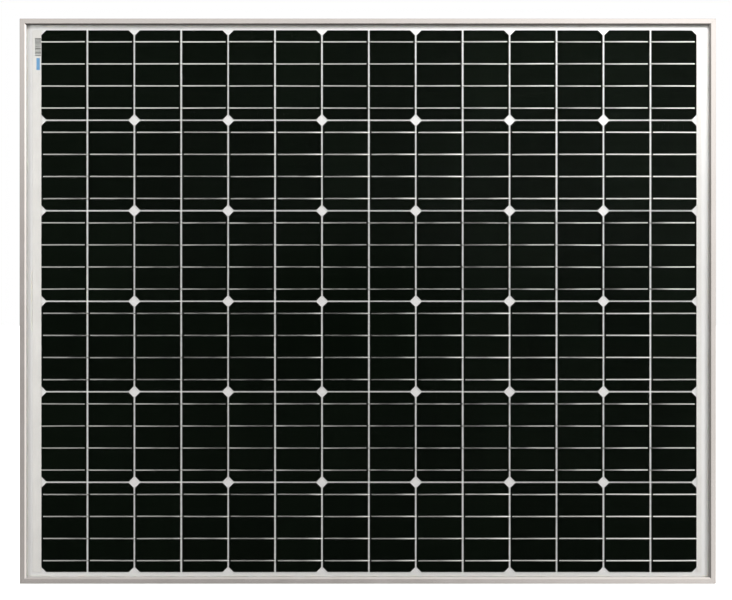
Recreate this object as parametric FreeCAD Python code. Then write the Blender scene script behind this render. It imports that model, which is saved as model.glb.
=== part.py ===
import FreeCAD, Part
import math
import os

# A framed solar panel with half-cut cells, standing upright.
# The sun side faces -Y, +X is to the right and +Z is up. Sizes are in millimetres.
# The origin is the middle of the frame's rear flange plane.

V = FreeCAD.Vector
X_AXIS = V(1, 0, 0)
Y_AXIS = V(0, 1, 0)
Z_AXIS = V(0, 0, 1)
ORIGIN = V(0, 0, 0)

# ---- driving dimensions: frame ----
PANEL_WIDTH = 1222.0
PANEL_HEIGHT = 992.0
FRAME_DEPTH = 35.0
WALL = 1.5
LIP_WIDTH = 11.5
LIP_THICKNESS = 1.8
LIP_BEVEL_WIDTH = 3.0
LIP_EDGE_THICKNESS = 0.5
CHAMBER_WIDTH = 9.5
CHAMBER_DEPTH = 12.5
LONG_FLANGE = 30.0
SHORT_FLANGE = 18.0
MITRE_GAP = 0.1
KEY_LEG = 60.0

# ---- driving dimensions: holes in the rear flanges ----
SLOT_INSET = 20.0
SLOT_LENGTH = 14.0
SLOT_WIDTH = 9.0
OUTER_SLOT_SPACING = 900.0
INNER_SLOT_SPACING = 500.0
EARTH_SPACING = 700.0
EARTH_RADIUS = 2.1
DRAIN_SPACING = 1140.0
DRAIN_RADIUS = 3.5

# ---- driving dimensions: laminate ----
SEAL_SIDE = 0.8
SEAL_REACH = 9.0
LAMINATE_INSET = 3.5
GLASS = 3.2
EVA = 0.45
RIBBON_THICKNESS = 0.2
CELL_THICKNESS = 0.2
BACKSHEET = 0.35
LABEL_THICKNESS = 0.1

# ---- driving dimensions: cells ----
ROWS = 6
COLUMNS = 7
HALF_CELL_WIDTH = 79.5
CELL_HEIGHT = 156.75
WAFER_CORNER_LEG = 8.5
MID_CELL_GAP = 3.1
COLUMN_GAP = 2.9
ROW_GAP = 2.4
MARGIN_LEFT = 25.4
RIBBONS_PER_CELL = 4
RIBBON_PITCH = 38.8
RIBBON_WIDTH = 2.0
RIBBON_SETBACK = 3.0
RIBBON_BEND = 0.4

# ---- driving dimensions: bus ribbons and their covers ----
BUS_WIDTH = 5.0
INNER_LANE = 2.0
OUTER_LANE = 9.0
LEAD_HEIGHTS = (36.0, 12.0, -12.0, -36.0)
LEAD_WIDTH = 5.0
STRIP_MARGIN = 1.5

# ---- driving dimensions: labels ----
BARCODE_SIZE = (11.5, 31.5)
BARCODE_PLACE = (-580.0, 446.4)
MARK_SIZE = (6.0, 21.0)
MARK_PLACE = (-579.6, 417.0)
RATING_SIZE = (110.0, 70.0)
RATING_PLACE = (-380.0, 0.0)
RATING_THICKNESS = 0.15

# ---- driving dimensions: junction box ----
BOX_LEFT = -591.0
BOX_WIDTH = 96.0
BOX_HEIGHT = 110.0
BOX_CORNER = 6.0
BOX_WALL = 2.2
BOX_FLOOR = 2.0
LEAD_WINDOW_WIDTH = 16.0
LEAD_WINDOW_HEIGHT = 90.0
BOX_RIM = -9.0
ADHESIVE = 0.8
ADHESIVE_RIM = 1.5
ADHESIVE_BAND = 8.0
LID_THICKNESS = 2.0
LID_GAP = 1.2
LID_LIP_DEPTH = 2.7
LID_LIP_WALL = 1.2
LID_LIP_CLEARANCE = 0.8
GASKET_WIDTH = 1.6
GASKET_CLEARANCE = 0.3
TONGUE_WIDTH = 8.0
TONGUE_SPREAD = 80.0
TONGUE_WALL = 1.4
TONGUE_REACH = 16.0
CATCH_HEIGHT = 0.8
HINGE_OFFSET = 4.6
HINGE_DEPTH = -8.2
KNUCKLE_RADIUS = 3.0
PIN_RADIUS = 1.4
PIN_CLEARANCE = 0.05
PIN_LENGTH = 78.0
EAR_SPREAD = 68.0
EAR_WIDTH = 6.0
KNUCKLE_GAP = 0.3
TERMINAL_THICKNESS = 1.0
TERMINAL_FACE = -20.5
TERMINAL_WIDTH = 14.0
TERMINAL_END = -522.0
DIODE_X = -548.0
DIODE_RADIUS = 2.7
DIODE_LENGTH = 9.5
DIODE_WIRE_RADIUS = 0.6

# ---- driving dimensions: cable glands, measured down from the box's lower wall ----
GLAND_SPREAD = 44.0
GLAND_DEPTH = -17.5
GLAND_COLLAR_FLATS = 14.0
GLAND_COLLAR = 4.0
GLAND_THREAD_RADIUS = 5.9
GLAND_THREAD_END = 16.0
GLAND_BORE_RADIUS = 3.6
SEAL_OUTER_RADIUS = 4.6
SEAL_START = 7.0
SEAL_END = 17.5
CABLE_RADIUS = 3.1
CLAW_START = 18.0
CLAW_END = 21.2
CLAW_RADIUS = 5.4
CLAW_SLITS = 6
NUT_FLATS = 15.0
NUT_START = 4.6
NUT_END = 23.0
NUT_HEX_END = 17.0
NUT_BORE_RADIUS = 6.0
NUT_MOUTH_RADIUS = 4.3
NUT_MOUTH_THICKNESS = 1.5

# ---- worked-out planes along Y, from the front face at -FRAME_DEPTH to the rear at 0 ----
FRONT = -FRAME_DEPTH
CHANNEL_FRONT = FRONT + LIP_THICKNESS
GLASS_FRONT = CHANNEL_FRONT + SEAL_SIDE
GLASS_REAR = GLASS_FRONT + GLASS
FRONT_EVA_REAR = GLASS_REAR + EVA
CELL_FRONT = FRONT_EVA_REAR + RIBBON_THICKNESS
CELL_REAR = CELL_FRONT + CELL_THICKNESS
REAR_EVA_FRONT = CELL_REAR + RIBBON_THICKNESS
REAR_EVA_REAR = REAR_EVA_FRONT + EVA
LAMINATE_REAR = REAR_EVA_REAR + BACKSHEET
CHANNEL_REAR = LAMINATE_REAR + SEAL_SIDE
CHAMBER_TOP = CHANNEL_REAR + WALL
CHAMBER_FLOOR = CHAMBER_TOP + CHAMBER_DEPTH

# ---- worked-out places in the panel's plane ----
HALF_WIDTH = PANEL_WIDTH / 2
HALF_HEIGHT = PANEL_HEIGHT / 2
LAMINATE_X = HALF_WIDTH - LAMINATE_INSET
LAMINATE_Z = HALF_HEIGHT - LAMINATE_INSET
FULL_CELL_PITCH = 2 * HALF_CELL_WIDTH + MID_CELL_GAP + COLUMN_GAP
ROW_PITCH = CELL_HEIGHT + ROW_GAP
FIELD_LEFT = -HALF_WIDTH + LIP_WIDTH + MARGIN_LEFT
FIELD_RIGHT = FIELD_LEFT + COLUMNS * FULL_CELL_PITCH - COLUMN_GAP
FIELD_TOP = (ROWS * ROW_PITCH - ROW_GAP) / 2
BOX_MIDDLE = BOX_LEFT + BOX_WIDTH / 2
BOX_RIGHT = BOX_LEFT + BOX_WIDTH
BOX_TOP = BOX_HEIGHT / 2
BOX_BACK = LAMINATE_REAR + ADHESIVE
HINGE_Z = BOX_TOP + HINGE_OFFSET
LID_UNDERSIDE = BOX_RIM + LID_GAP
LID_FACE = LID_UNDERSIDE + LID_THICKNESS


# ---- small helpers ----
def fused(shapes):
    """One clean solid from several that touch."""
    return shapes[0].fuse(shapes[1:]).removeSplitter()


def rounded_wire(corners):
    """A closed wire through (point, radius) corners, where a radius above zero rounds that corner."""
    edges = []
    starts = []
    ends = []
    count = len(corners)
    for i, (point, radius) in enumerate(corners):
        back = (corners[i - 1][0] - point).normalize()
        ahead = (corners[(i + 1) % count][0] - point).normalize()
        half_turn = back.getAngle(ahead) / 2
        cut = radius / math.tan(half_turn)
        starts.append(point + back * cut)
        ends.append(point + ahead * cut)
        if radius > 0:
            bisector = (back + ahead).normalize()
            middle = point + bisector * (radius / math.sin(half_turn) - radius)
            edges.append(Part.Arc(starts[i], middle, ends[i]).toShape())
        else:
            edges.append(None)
    loop = []
    for i in range(count):
        if edges[i] is not None:
            loop.append(edges[i])
        loop.append(Part.makeLine(ends[i], starts[(i + 1) % count]))
    return Part.Wire(loop)


def rounded_rectangle(x_low, x_high, z_low, z_high, y, radius):
    """A wire in the plane at depth y, with all four corners rounded."""
    points = (V(x_low, y, z_low), V(x_high, y, z_low), V(x_high, y, z_high), V(x_low, y, z_high))
    return rounded_wire([(point, radius) for point in points])


def rounded_plate(x_low, x_high, z_low, z_high, y_low, y_high, radius):
    face = Part.Face(rounded_rectangle(x_low, x_high, z_low, z_high, y_low, radius))
    return face.extrude(V(0, y_high - y_low, 0))


def plate(x_low, x_high, z_low, z_high, y_low, y_high):
    """A block: its span across, its span up, then its span in depth."""
    corner = V(x_low, y_low, z_low)
    return Part.makeBox(x_high - x_low, y_high - y_low, z_high - z_low, corner)


def hexagon(flats, centre, length):
    """A hexagonal bar that runs down -Z from the centre point, with flats facing +Y and -Y."""
    corner = flats / math.sqrt(3)
    angles = [math.radians(60 * i) for i in range(6)]
    points = [centre + V(corner * math.cos(a), corner * math.sin(a), 0) for a in angles]
    face = Part.Face(Part.makePolygon(points + points[:1]))
    return face.extrude(V(0, 0, -length))


def cylinder_down(radius, centre, start, end):
    """A cylinder from start to end millimetres below the centre point."""
    return Part.makeCylinder(radius, end - start, centre - V(0, 0, start), -Z_AXIS)


def cone_down(radius_start, radius_end, centre, start, end):
    return Part.makeCone(radius_start, radius_end, end - start, centre - V(0, 0, start), -Z_AXIS)


def save(name, shapes):
    """Writes one node: a single solid, or a group of separate ones."""
    shape = shapes if isinstance(shapes, Part.Shape) else Part.makeCompound(shapes)
    shape.exportStep("parts/%s.step" % name)
    print(name, len(shape.Solids), "solids,", round(shape.Volume / 1000, 2), "cm3, valid", shape.isValid())


# ---- frame ----
def rail_section(flange, place):
    """The extrusion's section, as a face. Inset is measured inwards from the frame's outer face."""
    outline = (
        (0, FRONT, 0.6),
        (LIP_WIDTH - LIP_BEVEL_WIDTH, FRONT, 0.5),
        (LIP_WIDTH, CHANNEL_FRONT - LIP_EDGE_THICKNESS, 0.15),
        (LIP_WIDTH, CHANNEL_FRONT, 0.1),
        (WALL, CHANNEL_FRONT, 0),
        (WALL, CHANNEL_REAR, 0),
        (2 * WALL + CHAMBER_WIDTH, CHANNEL_REAR, 0.3),
        (2 * WALL + CHAMBER_WIDTH, CHAMBER_FLOOR + WALL, 0.8),
        (WALL, CHAMBER_FLOOR + WALL, 0.5),
        (WALL, -WALL, 0.5),
        (flange, -WALL, 0.4),
        (flange, 0, 0.4),
        (0, 0, 0.6),
    )
    chamber = (
        (WALL, CHAMBER_TOP),
        (WALL + CHAMBER_WIDTH, CHAMBER_TOP),
        (WALL + CHAMBER_WIDTH, CHAMBER_FLOOR),
        (WALL, CHAMBER_FLOOR),
    )
    outer = rounded_wire([(place(inset, y), radius) for inset, y, radius in outline])
    inner = rounded_wire([(place(inset, y), 0.5) for inset, y in chamber])
    return Part.Face(outer).cut(Part.Face(inner))


def mitre_block(reach):
    """A trapezium over the bottom rail's place, whose two ends are the 45 degree mitres."""
    half = HALF_WIDTH - MITRE_GAP
    points = (
        V(-half, FRONT - 1, -HALF_HEIGHT),
        V(half, FRONT - 1, -HALF_HEIGHT),
        V(half - reach, FRONT - 1, -HALF_HEIGHT + reach),
        V(-half + reach, FRONT - 1, -HALF_HEIGHT + reach),
    )
    face = Part.Face(Part.makePolygon(points + points[:1]))
    return face.extrude(V(0, FRAME_DEPTH + 2, 0))


def side_mitre_block(reach):
    """The same for the left rail's place."""
    half = HALF_HEIGHT - MITRE_GAP
    points = (
        V(-HALF_WIDTH, FRONT - 1, -half),
        V(-HALF_WIDTH, FRONT - 1, half),
        V(-HALF_WIDTH + reach, FRONT - 1, half - reach),
        V(-HALF_WIDTH + reach, FRONT - 1, -half + reach),
    )
    face = Part.Face(Part.makePolygon(points + points[:1]))
    return face.extrude(V(0, FRAME_DEPTH + 2, 0))


def slot_cutter(x, z):
    """A slot through the rear flange, with its long way along X."""
    radius = SLOT_WIDTH / 2
    reach = SLOT_LENGTH / 2 - radius
    middle = plate(x - reach, x + reach, z - radius, z + radius, -2 * WALL, WALL)
    return fused([middle, hole_cutter(radius, x - reach, z), hole_cutter(radius, x + reach, z)])


def hole_cutter(radius, x, z):
    return Part.makeCylinder(radius, 3 * WALL, V(x, -2 * WALL, z), Y_AXIS)


def bottom_rail():
    """A long rail, with its slots, earthing holes and drain holes."""
    section = rail_section(LONG_FLANGE, lambda inset, y: V(-HALF_WIDTH, y, -HALF_HEIGHT + inset))
    rail = section.extrude(V(PANEL_WIDTH, 0, 0))
    rail = rail.common(mitre_block(LONG_FLANGE + 1))
    z = -HALF_HEIGHT + SLOT_INSET
    cutters = []
    for side in (-1, 1):
        cutters.append(slot_cutter(side * OUTER_SLOT_SPACING / 2, z))
        cutters.append(slot_cutter(side * INNER_SLOT_SPACING / 2, z))
        cutters.append(hole_cutter(EARTH_RADIUS, side * EARTH_SPACING / 2, z))
        cutters.append(hole_cutter(DRAIN_RADIUS, side * DRAIN_SPACING / 2, z))
    return rail.cut(cutters)


def left_rail():
    section = rail_section(SHORT_FLANGE, lambda inset, y: V(-HALF_WIDTH + inset, y, -HALF_HEIGHT))
    rail = section.extrude(V(0, 0, PANEL_HEIGHT))
    return rail.common(side_mitre_block(LONG_FLANGE + 1))


def mirrored_to_four(solid):
    """A corner piece at the lower left, repeated at all four corners."""
    right = solid.mirror(ORIGIN, X_AXIS)
    return [solid, right, solid.mirror(ORIGIN, Z_AXIS), right.mirror(ORIGIN, Z_AXIS)]


def corner_keys():
    """L-shaped keys that fill the chamber's width and join two rails at each corner."""
    y_low = CHAMBER_TOP + 0.5
    y_high = CHAMBER_FLOOR - 0.5
    x = -HALF_WIDTH + WALL
    z = -HALF_HEIGHT + WALL
    along_bottom = plate(x, x + KEY_LEG, z, z + CHAMBER_WIDTH, y_low, y_high)
    along_side = plate(x, x + CHAMBER_WIDTH, z, z + KEY_LEG, y_low, y_high)
    return mirrored_to_four(fused([along_bottom, along_side]))


def seal_section(place):
    """The U around the laminate's edge, which fills the frame's channel."""
    far = WALL + SEAL_REACH
    points = [
        place(WALL, CHANNEL_FRONT),
        place(far, CHANNEL_FRONT),
        place(far, GLASS_FRONT),
        place(LAMINATE_INSET, GLASS_FRONT),
        place(LAMINATE_INSET, LAMINATE_REAR),
        place(far, LAMINATE_REAR),
        place(far, CHANNEL_REAR),
        place(WALL, CHANNEL_REAR),
    ]
    return Part.Face(Part.makePolygon(points + points[:1]))


def edge_seals():
    bottom = seal_section(lambda inset, y: V(-HALF_WIDTH, y, -HALF_HEIGHT + inset))
    bottom = bottom.extrude(V(PANEL_WIDTH, 0, 0)).common(mitre_block(LONG_FLANGE))
    left = seal_section(lambda inset, y: V(-HALF_WIDTH + inset, y, -HALF_HEIGHT))
    left = left.extrude(V(0, 0, PANEL_HEIGHT)).common(side_mitre_block(LONG_FLANGE))
    return [bottom, bottom.mirror(ORIGIN, Z_AXIS), left, left.mirror(ORIGIN, X_AXIS)]


# ---- laminate ----
def laminate_sheet(y_low, y_high):
    return plate(-LAMINATE_X, LAMINATE_X, -LAMINATE_Z, LAMINATE_Z, y_low, y_high)


def bus_lane(side, lane):
    """The low and high x of a bus ribbon, lane millimetres out from the cells on that side."""
    if side < 0:
        return FIELD_LEFT - lane - BUS_WIDTH, FIELD_LEFT - lane
    return FIELD_RIGHT + lane, FIELD_RIGHT + lane + BUS_WIDTH


def row_middle(row):
    """The height of a row's middle, with row 0 at the top."""
    return FIELD_TOP - CELL_HEIGHT / 2 - row * ROW_PITCH


def ribbon_heights(row):
    """The four ribbon heights of a row, from the top down."""
    first = (RIBBONS_PER_CELL - 1) / 2
    return [row_middle(row) + (first - i) * RIBBON_PITCH for i in range(RIBBONS_PER_CELL)]


def half_cell_spans():
    """The left and right x of the fourteen half cells in a row."""
    spans = []
    for column in range(COLUMNS):
        left = FIELD_LEFT + column * FULL_CELL_PITCH
        spans.append((left, left + HALF_CELL_WIDTH))
        second = left + HALF_CELL_WIDTH + MID_CELL_GAP
        spans.append((second, second + HALF_CELL_WIDTH))
    return spans


def half_cell(x_cut, x_outer, z_middle):
    """Half a round-cornered wafer, cut at x_cut, with its two rounded corners at x_outer."""
    way = 1 if x_outer > x_cut else -1
    half = CELL_HEIGHT / 2
    leg = WAFER_CORNER_LEG
    centre = V(x_outer - way * half, CELL_FRONT, z_middle)
    radius = math.hypot(half, half - leg)
    bulge = centre + V(way, 0, 1).normalize() * radius
    low_bulge = centre + V(way, 0, -1).normalize() * radius
    corners = (
        V(x_cut, CELL_FRONT, z_middle - half),
        V(x_outer - way * leg, CELL_FRONT, z_middle - half),
        V(x_outer, CELL_FRONT, z_middle - half + leg),
        V(x_outer, CELL_FRONT, z_middle + half - leg),
        V(x_outer - way * leg, CELL_FRONT, z_middle + half),
        V(x_cut, CELL_FRONT, z_middle + half),
    )
    edges = [
        Part.makeLine(corners[0], corners[1]),
        Part.Arc(corners[1], low_bulge, corners[2]).toShape(),
        Part.makeLine(corners[2], corners[3]),
        Part.Arc(corners[3], bulge, corners[4]).toShape(),
        Part.makeLine(corners[4], corners[5]),
        Part.makeLine(corners[5], corners[0]),
    ]
    return Part.Face(Part.Wire(edges)).extrude(V(0, CELL_THICKNESS, 0))


def cell_string(row):
    cells = []
    for i, (left, right) in enumerate(half_cell_spans()):
        if i % 2 == 0:
            cells.append(half_cell(right, left, row_middle(row)))
        else:
            cells.append(half_cell(left, right, row_middle(row)))
    return cells


def ribbon(points, z):
    """A flat ribbon from its (x, y) outline, as wide as RIBBON_WIDTH about height z."""
    low = z - RIBBON_WIDTH / 2
    corners = [V(x, y, low) for x, y in points]
    return Part.Face(Part.makePolygon(corners + corners[:1])).extrude(V(0, 0, RIBBON_WIDTH))


def link_outline(rear_far, rear_edge, front_edge, front_far):
    """From the back of one cell to the front of the next, stepping through the gap between them."""
    way = 1 if front_edge > rear_edge else -1
    leave = rear_edge + way * RIBBON_BEND
    arrive = front_edge - way * RIBBON_BEND
    return (
        (rear_far, CELL_REAR),
        (leave, CELL_REAR),
        (arrive, FRONT_EVA_REAR),
        (front_far, FRONT_EVA_REAR),
        (front_far, CELL_FRONT),
        (arrive, CELL_FRONT),
        (leave, REAR_EVA_FRONT),
        (rear_far, REAR_EVA_FRONT),
    )


def tail_outline(x_from, x_to, y):
    return ((x_from, y), (x_to, y), (x_to, y + RIBBON_THICKNESS), (x_from, y + RIBBON_THICKNESS))


def bus_lane_of(row, side):
    """The end rows have the outer lane on the left, where their leads run back to the middle."""
    if side < 0 and row in (0, ROWS - 1):
        return bus_lane(side, OUTER_LANE)
    return bus_lane(side, INNER_LANE)


def string_ribbons(row):
    """Each ribbon runs from the back of one half cell to the front of the next.
    Even rows do so from left to right, and odd rows from right to left."""
    spans = half_cell_spans()
    way = 1
    if row % 2 == 1:
        spans = [(right, left) for left, right in reversed(spans)]
        way = -1
    setback = way * RIBBON_SETBACK
    first_bus = bus_lane_of(row, -way)
    last_bus = bus_lane_of(row, way)
    first_end = min(first_bus) if way > 0 else max(first_bus)
    last_end = max(last_bus) if way > 0 else min(last_bus)
    outlines = [tail_outline(first_end, spans[0][1] - setback, FRONT_EVA_REAR)]
    for (near, rear_edge), (front_edge, far) in zip(spans, spans[1:]):
        outlines.append(link_outline(near + setback, rear_edge, front_edge, far - setback))
    outlines.append(tail_outline(spans[-1][0] + setback, last_end, CELL_REAR))
    return [ribbon(outline, z) for z in ribbon_heights(row) for outline in outlines]


def bus(x_low, x_high, z_low, z_high):
    return plate(x_low, x_high, z_low, z_high, CELL_FRONT, CELL_REAR)


def lead(x, z_middle):
    """The end of a bus ribbon, bent back through the rear sheets to its terminal."""
    half = LEAD_WIDTH / 2
    return plate(x, x + CELL_THICKNESS, z_middle - half, z_middle + half, CELL_FRONT, TERMINAL_FACE)


def bus_ribbons_left():
    """Row 1 and row 6 end in the outer lane, rows 2-3 and rows 4-5 are joined in the inner lane."""
    outer = bus_lane(-1, OUTER_LANE)
    inner = bus_lane(-1, INNER_LANE)
    margin = RIBBON_WIDTH
    half = LEAD_WIDTH / 2
    tops = [ribbon_heights(row)[0] + margin for row in range(ROWS)]
    bottoms = [ribbon_heights(row)[-1] - margin for row in range(ROWS)]
    runs = (
        (outer, LEAD_HEIGHTS[0] - half, tops[0], LEAD_HEIGHTS[0]),
        (inner, LEAD_HEIGHTS[1] - half, tops[1], LEAD_HEIGHTS[1]),
        (inner, bottoms[4], LEAD_HEIGHTS[2] + half, LEAD_HEIGHTS[2]),
        (outer, bottoms[5], LEAD_HEIGHTS[3] + half, LEAD_HEIGHTS[3]),
    )
    return [fused([bus(lane[0], lane[1], low, high), lead(lane[0], z)]) for lane, low, high, z in runs]


def bus_ribbons_right():
    lane = bus_lane(1, INNER_LANE)
    buses = []
    for row in range(0, ROWS, 2):
        top = ribbon_heights(row)[0] + RIBBON_WIDTH
        bottom = ribbon_heights(row + 1)[-1] - RIBBON_WIDTH
        buses.append(bus(lane[0], lane[1], bottom, top))
    return buses


def lead_windows(y_low, y_high):
    """Slots that let the four leads through the rear sheets."""
    outer = bus_lane(-1, OUTER_LANE)[0]
    inner = bus_lane(-1, INNER_LANE)[0]
    half = LEAD_WIDTH / 2 + 1
    windows = []
    for x, z in zip((outer, inner, inner, outer), LEAD_HEIGHTS):
        windows.append(plate(x - 0.8, x + CELL_THICKNESS + 0.8, z - half, z + half, y_low, y_high))
    return windows


def insulation_strips():
    """White strips set into the front sheet, over the bus ribbons."""
    y_low = FRONT_EVA_REAR - LABEL_THICKNESS
    left_low = bus_lane(-1, OUTER_LANE)[0] - STRIP_MARGIN
    left_high = FIELD_LEFT
    right_low = FIELD_RIGHT
    right_high = bus_lane(1, INNER_LANE)[1] + STRIP_MARGIN
    top = FIELD_TOP
    return [
        plate(left_low, left_high, -top, top, y_low, FRONT_EVA_REAR),
        plate(right_low, right_high, -top, top, y_low, FRONT_EVA_REAR),
    ]


def flat_label(size, place, y_low, y_high):
    x, z = place
    return plate(x - size[0] / 2, x + size[0] / 2, z - size[1] / 2, z + size[1] / 2, y_low, y_high)


def margin_label(size, place):
    """A label laid on the insulation strip, under the front sheet."""
    y_high = FRONT_EVA_REAR - LABEL_THICKNESS
    return flat_label(size, place, y_high - LABEL_THICKNESS, y_high)


def encapsulant_front():
    recesses = insulation_strips()
    recesses.append(margin_label(BARCODE_SIZE, BARCODE_PLACE))
    recesses.append(margin_label(MARK_SIZE, MARK_PLACE))
    return laminate_sheet(GLASS_REAR, FRONT_EVA_REAR).cut(recesses)


def encapsulant_rear():
    """A sheet with a raised rim, which closes on the front sheet around the cells."""
    window_left = bus_lane(-1, OUTER_LANE)[0] - STRIP_MARGIN
    window_right = bus_lane(1, INNER_LANE)[1] + STRIP_MARGIN
    window_top = FIELD_TOP + STRIP_MARGIN
    window = plate(window_left, window_right, -window_top, window_top, FRONT_EVA_REAR, REAR_EVA_FRONT)
    sheet = laminate_sheet(FRONT_EVA_REAR, REAR_EVA_REAR)
    return sheet.cut([window] + lead_windows(REAR_EVA_FRONT, REAR_EVA_REAR))


def backsheet():
    return laminate_sheet(REAR_EVA_REAR, LAMINATE_REAR).cut(lead_windows(REAR_EVA_REAR, LAMINATE_REAR))


# ---- junction box ----
def box_plate(grow, y_low, y_high, radius):
    """A rounded plate of the junction box's outline, grown or shrunk on every side."""
    return rounded_plate(
        BOX_LEFT - grow, BOX_RIGHT + grow, -BOX_TOP - grow, BOX_TOP + grow, y_low, y_high, radius
    )


def floor_window(y_low, y_high):
    """The opening in the box's floor through which the leads come in."""
    left = BOX_LEFT + BOX_WALL
    half = LEAD_WINDOW_HEIGHT / 2
    return plate(left, left + LEAD_WINDOW_WIDTH, -half, half, y_low, y_high)


def box_adhesive():
    bead = box_plate(ADHESIVE_RIM, LAMINATE_REAR, BOX_BACK, BOX_CORNER + ADHESIVE_RIM)
    inner_left = BOX_LEFT + 2.0
    hole = plate(
        inner_left,
        BOX_RIGHT - ADHESIVE_BAND,
        -BOX_TOP + ADHESIVE_BAND,
        BOX_TOP - ADHESIVE_BAND,
        LAMINATE_REAR,
        BOX_BACK,
    )
    return bead.cut(hole)


def knuckle(x_low, x_high):
    return Part.makeCylinder(KNUCKLE_RADIUS, x_high - x_low, V(x_low, HINGE_DEPTH, HINGE_Z), X_AXIS)


def pin_bore(radius):
    return Part.makeCylinder(radius, BOX_WIDTH, V(BOX_LEFT, HINGE_DEPTH, HINGE_Z), X_AXIS)


def ear_spans():
    """The low and high x of the base's two hinge ears."""
    spans = []
    for side in (-1, 1):
        middle = BOX_MIDDLE + side * EAR_SPREAD / 2
        spans.append((middle - EAR_WIDTH / 2, middle + EAR_WIDTH / 2))
    return spans


def gland_centres():
    return [V(BOX_MIDDLE + side * GLAND_SPREAD / 2, GLAND_DEPTH, -BOX_TOP) for side in (-1, 1)]


def terminal_posts():
    """Blocks on the box's floor that carry the terminal plates."""
    top = TERMINAL_FACE - TERMINAL_THICKNESS
    floor = BOX_BACK + BOX_FLOOR
    posts = []
    for z in LEAD_HEIGHTS:
        for x in (BOX_LEFT + 26.0, TERMINAL_END - 6.0):
            posts.append(plate(x - 4.0, x + 4.0, z - 5.0, z + 5.0, floor - 0.5, top))
    return posts


def junction_box_base():
    shell = box_plate(0, BOX_BACK, BOX_RIM, BOX_CORNER)
    cavity = box_plate(-BOX_WALL, BOX_BACK + BOX_FLOOR, BOX_RIM, BOX_CORNER - BOX_WALL)
    base = shell.cut([cavity, floor_window(BOX_BACK, BOX_BACK + BOX_FLOOR)])
    additions = terminal_posts()
    for low, high in ear_spans():
        web = plate(low, high, BOX_TOP - 0.5, HINGE_Z, HINGE_DEPTH - KNUCKLE_RADIUS, BOX_RIM)
        additions.append(web)
        additions.append(knuckle(low, high))
    for side in (-1, 1):
        x = BOX_MIDDLE + side * TONGUE_SPREAD / 2
        half = TONGUE_WIDTH / 2
        catch_low = -BOX_TOP - CATCH_HEIGHT
        additions.append(plate(x - half, x + half, catch_low, -BOX_TOP + 0.5, -13.5, -12.0))
    base = fused([base] + additions)
    cutters = [pin_bore(PIN_RADIUS)]
    for centre in gland_centres():
        cutters.append(cylinder_down(GLAND_THREAD_RADIUS, centre, -BOX_WALL - 1, 1))
    return base.cut(cutters)


def lid_tongue(x):
    """A snap tongue that hangs over the base's lower wall and passes its catch."""
    half = TONGUE_WIDTH / 2
    inner = -BOX_TOP - 1.6
    outer = inner - TONGUE_WALL
    bridge = plate(x - half, x + half, outer, -BOX_TOP + 1.0, LID_UNDERSIDE, LID_FACE)
    tongue = plate(x - half, x + half, outer, inner, -TONGUE_REACH, LID_FACE)
    bump = plate(x - half, x + half, inner - 0.5, inner + 0.5, -TONGUE_REACH, -TONGUE_REACH + 1.4)
    return [bridge, tongue, bump]


def lid_knuckle_spans():
    """The lid's knuckles lie just inside the base's ears."""
    left, right = ear_spans()
    width = EAR_WIDTH + KNUCKLE_GAP
    return (
        (left[1] + KNUCKLE_GAP, left[1] + KNUCKLE_GAP + width),
        (right[0] - KNUCKLE_GAP - width, right[0] - KNUCKLE_GAP),
    )


def junction_box_lid():
    cover = box_plate(0, LID_UNDERSIDE, LID_FACE, BOX_CORNER)
    inset = BOX_WALL + LID_LIP_CLEARANCE
    low = LID_UNDERSIDE - LID_LIP_DEPTH
    lip = box_plate(-inset, low, LID_UNDERSIDE + 0.5, BOX_CORNER - inset)
    inner_inset = inset + LID_LIP_WALL
    hollow = box_plate(-inner_inset, low, LID_UNDERSIDE, BOX_CORNER - inner_inset)
    pieces = [cover, lip.cut(hollow)]
    for x_low, x_high in lid_knuckle_spans():
        pieces.append(plate(x_low, x_high, BOX_TOP - 1.0, HINGE_Z, LID_UNDERSIDE, LID_FACE))
        pieces.append(knuckle(x_low, x_high))
    for side in (-1, 1):
        pieces.extend(lid_tongue(BOX_MIDDLE + side * TONGUE_SPREAD / 2))
    return fused(pieces).cut(pin_bore(PIN_RADIUS + PIN_CLEARANCE))


def lid_gasket():
    """A ring under the lid, over the base's rim."""
    low = BOX_RIM + GASKET_CLEARANCE
    outer = box_plate(-0.3, low, LID_UNDERSIDE, BOX_CORNER - 0.3)
    inner = box_plate(-0.3 - GASKET_WIDTH, low, LID_UNDERSIDE, BOX_CORNER - 0.3 - GASKET_WIDTH)
    return outer.cut(inner)


def lid_hinge_pin():
    start = V(BOX_MIDDLE - PIN_LENGTH / 2, HINGE_DEPTH, HINGE_Z)
    return Part.makeCylinder(PIN_RADIUS, PIN_LENGTH, start, X_AXIS)


def terminal_plates():
    """Four plates, each starting at its lead."""
    outer = bus_lane(-1, OUTER_LANE)[0] + CELL_THICKNESS
    inner = bus_lane(-1, INNER_LANE)[0] + CELL_THICKNESS
    half = TERMINAL_WIDTH / 2
    plates = []
    for x, z in zip((outer, inner, inner, outer), LEAD_HEIGHTS):
        y_low = TERMINAL_FACE - TERMINAL_THICKNESS
        plates.append(plate(x, TERMINAL_END, z - half, z + half, y_low, TERMINAL_FACE))
    return plates


def diode_middles():
    """The heights midway between neighbouring terminals."""
    return [(a + b) / 2 for a, b in zip(LEAD_HEIGHTS, LEAD_HEIGHTS[1:])]


def diode_axis_depth():
    return TERMINAL_FACE + DIODE_RADIUS + 0.4


def bypass_diodes():
    bodies = []
    for z in diode_middles():
        start = V(DIODE_X, diode_axis_depth(), z - DIODE_LENGTH / 2)
        bodies.append(Part.makeCylinder(DIODE_RADIUS, DIODE_LENGTH, start, Z_AXIS))
    return bodies


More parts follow.
